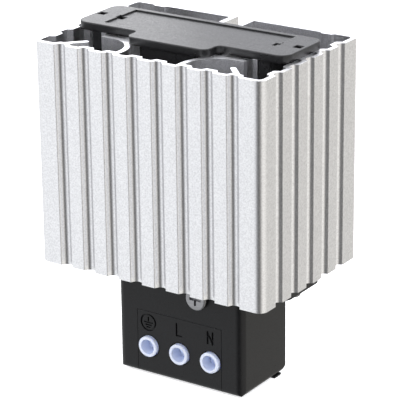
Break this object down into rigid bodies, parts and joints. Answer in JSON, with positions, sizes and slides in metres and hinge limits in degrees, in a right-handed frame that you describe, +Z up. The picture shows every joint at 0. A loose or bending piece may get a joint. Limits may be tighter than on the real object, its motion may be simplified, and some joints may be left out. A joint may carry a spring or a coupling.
{
  "type": "enclosure heater",
  "caption": "Rail-mounted enclosure heater: corrugated aluminium profile with vertical air channels, black top cover and a terminal box with wire entries below.",
  "frame": {"origin": "on the underside of the terminal box's closing plate, below the middle of the profile", "axes": "+Z up along the air channels, -Y out of the front with the wire entries, +X to the right seen from the front"},
  "size_m": [0.093, 0.0698, 0.1278],
  "materials": {
    "profile_aluminium": "blasted and clear anodised, with bright sawn ends",
    "plain_aluminium": "drawn",
    "black_plastic": "finely eroded moulded surface",
    "dark_insulator": "moulded",
    "white_plastic": "smooth, slightly translucent",
    "plated_steel": "zinc plated",
    "spring_steel": "rolled and plated",
    "brass": "rolled",
    "heating_ceramic": "sintered, dull",
    "amber_film": "smooth film",
    "green_insulation": "smooth",
    "brown_insulation": "smooth",
    "blue_insulation": "smooth"
  },
  "bodies": {
    "root": {"heatsink_profile": "profile_aluminium", "top_cover": "black_plastic", "terminal_housing": "black_plastic", "front_panel": "black_plastic", "base_cover": "black_plastic", "terminal_block": "dark_insulator", "block_screw": "plated_steel", "sleeve_earth": "white_plastic", "sleeve_live": "white_plastic", "sleeve_neutral": "white_plastic", "clamp_earth": "spring_steel", "clamp_live": "spring_steel", "clamp_neutral": "spring_steel", "bar_earth": "brass", "bar_live": "brass", "bar_neutral": "brass", "heating_stones": "heating_ceramic", "electrode_live": "brass", "electrode_neutral": "brass", "insulating_wrap": "amber_film", "front_wedge": "plain_aluminium", "rear_wedge": "plain_aluminium", "lead_earth": "green_insulation", "lead_live": "brown_insulation", "lead_neutral": "blue_insulation", "earth_lug": "plated_steel", "earth_screw": "plated_steel", "flange_screws": "plated_steel", "rail_clip": "spring_steel", "clip_screws": "plated_steel"}
  },
  "joints": []
}
